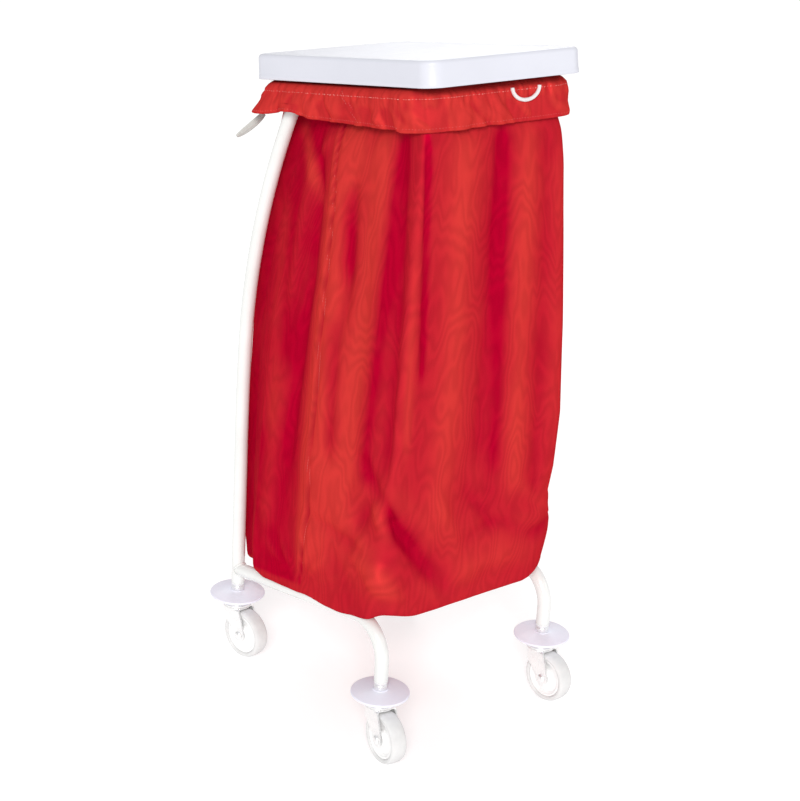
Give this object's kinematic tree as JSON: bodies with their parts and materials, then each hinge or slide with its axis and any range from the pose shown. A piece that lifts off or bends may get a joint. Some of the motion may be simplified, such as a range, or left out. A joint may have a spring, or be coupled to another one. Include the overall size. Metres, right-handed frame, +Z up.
{
  "type": "linen trolley",
  "caption": "Wheeled tube-frame linen trolley with a hanging cloth laundry bag under a hinged lid.",
  "frame": {"origin": "on the floor under the middle of the whole trolley, castors and hinge included", "axes": "+Z up, +X to the trolley's right as seen from behind it facing forward, -Y to the front, where the lid opens; the lid's hinge is at the rear, +Y"},
  "size_m": [0.388, 0.4603, 0.9725],
  "materials": {
    "white_enamel": "glossy white powder coat",
    "bright_steel": "bright zinc plate",
    "bumper_plastic": "soft pale lavender-grey moulding",
    "grey_tyre": "non-marking light grey rubber",
    "wheel_nylon": "moulded white nylon",
    "lid_plastic": "satin white moulding with a faint blue cast",
    "bag_nylon": "red woven nylon with a satin sheen",
    "tie_webbing": "grey webbing"
  },
  "bodies": {
    "frame": {"castor_stem_front_left": "bright_steel", "bumper_front_left": "bumper_plastic", "castor_stem_front_right": "bright_steel", "bumper_front_right": "bumper_plastic", "castor_stem_rear_left": "bright_steel", "bumper_rear_left": "bumper_plastic", "castor_stem_rear_right": "bright_steel", "bumper_rear_right": "bumper_plastic", "upright_left": "white_enamel", "upright_right": "white_enamel", "lower_rail_left": "white_enamel", "lower_rail_right": "white_enamel", "cross_tube_front": "white_enamel", "cross_tube_rear": "white_enamel", "rack_wire_1": "white_enamel", "rack_wire_2": "white_enamel", "rack_wire_3": "white_enamel", "rack_wire_4": "white_enamel", "mouth_ring": "white_enamel", "hinge_bracket_left": "bright_steel", "hinge_pin_left": "bright_steel", "hinge_bracket_right": "bright_steel", "hinge_pin_right": "bright_steel", "bag_body": "bag_nylon", "bag_cuff": "bag_nylon", "bag_tie": "tie_webbing", "drawcord_loop": "tie_webbing"},
    "lid": {"lid": "lid_plastic", "hinge_leaf_left": "bright_steel", "hinge_leaf_right": "bright_steel", "hinge_screw_left_low": "bright_steel", "hinge_screw_left_high": "bright_steel", "hinge_screw_right_low": "bright_steel", "hinge_screw_right_high": "bright_steel"},
    "swivel_front_left": {"fork_front_left": "bright_steel", "swivel_head_front_left": "bright_steel", "axle_bolt_front_left": "bright_steel"},
    "wheel_front_left": {"wheel_rim_front_left": "wheel_nylon", "tyre_front_left": "grey_tyre", "wheel_bush_front_left": "bright_steel"},
    "swivel_front_right": {"fork_front_right": "bright_steel", "swivel_head_front_right": "bright_steel", "axle_bolt_front_right": "bright_steel"},
    "wheel_front_right": {"wheel_rim_front_right": "wheel_nylon", "tyre_front_right": "grey_tyre", "wheel_bush_front_right": "bright_steel"},
    "swivel_rear_left": {"fork_rear_left": "bright_steel", "swivel_head_rear_left": "bright_steel", "axle_bolt_rear_left": "bright_steel"},
    "wheel_rear_left": {"wheel_rim_rear_left": "wheel_nylon", "tyre_rear_left": "grey_tyre", "wheel_bush_rear_left": "bright_steel"},
    "swivel_rear_right": {"fork_rear_right": "bright_steel", "swivel_head_rear_right": "bright_steel", "axle_bolt_rear_right": "bright_steel"},
    "wheel_rear_right": {"wheel_rim_rear_right": "wheel_nylon", "tyre_rear_right": "grey_tyre", "wheel_bush_rear_right": "bright_steel"}
  },
  "joints": [
    {"name": "lid_hinge", "type": "hinge", "parent": "frame", "child": "lid", "pos_m": [0, 0.228, 0.87055], "axis": [-1, 0, 0], "range_deg": [0, 95]},
    {"name": "castor_swivel_front_left", "type": "hinge", "parent": "frame", "child": "swivel_front_left", "pos_m": [-0.1525, -0.16792, 0.0375], "axis": [0, 0, 1], "continuous": true},
    {"name": "wheel_spin_front_left", "type": "hinge", "parent": "swivel_front_left", "child": "wheel_front_left", "pos_m": [-0.1547, -0.18881, 0.0375], "axis": [0.9945, -0.1045, 0], "continuous": true},
    {"name": "castor_swivel_front_right", "type": "hinge", "parent": "frame", "child": "swivel_front_right", "pos_m": [0.1525, -0.16792, 0.0375], "axis": [0, 0, 1], "continuous": true},
    {"name": "wheel_spin_front_right", "type": "hinge", "parent": "swivel_front_right", "child": "wheel_front_right", "pos_m": [0.15396, -0.18887, 0.0375], "axis": [0.9976, 0.0698, 0], "continuous": true},
    {"name": "castor_swivel_rear_left", "type": "hinge", "parent": "frame", "child": "swivel_rear_left", "pos_m": [-0.1525, 0.18608, 0.0375], "axis": [0, 0, 1], "continuous": true},
    {"name": "wheel_spin_rear_left", "type": "hinge", "parent": "swivel_rear_left", "child": "wheel_rear_left", "pos_m": [-0.14921, 0.16534, 0.0375], "axis": [0.9877, 0.1564, 0], "continuous": true},
    {"name": "castor_swivel_rear_right", "type": "hinge", "parent": "frame", "child": "swivel_rear_right", "pos_m": [0.1525, 0.18608, 0.0375], "axis": [0, 0, 1], "continuous": true},
    {"name": "wheel_spin_rear_right", "type": "hinge", "parent": "swivel_rear_right", "child": "wheel_rear_right", "pos_m": [0.1525, 0.16508, 0.0375], "axis": [1, 0, 0], "continuous": true}
  ]
}
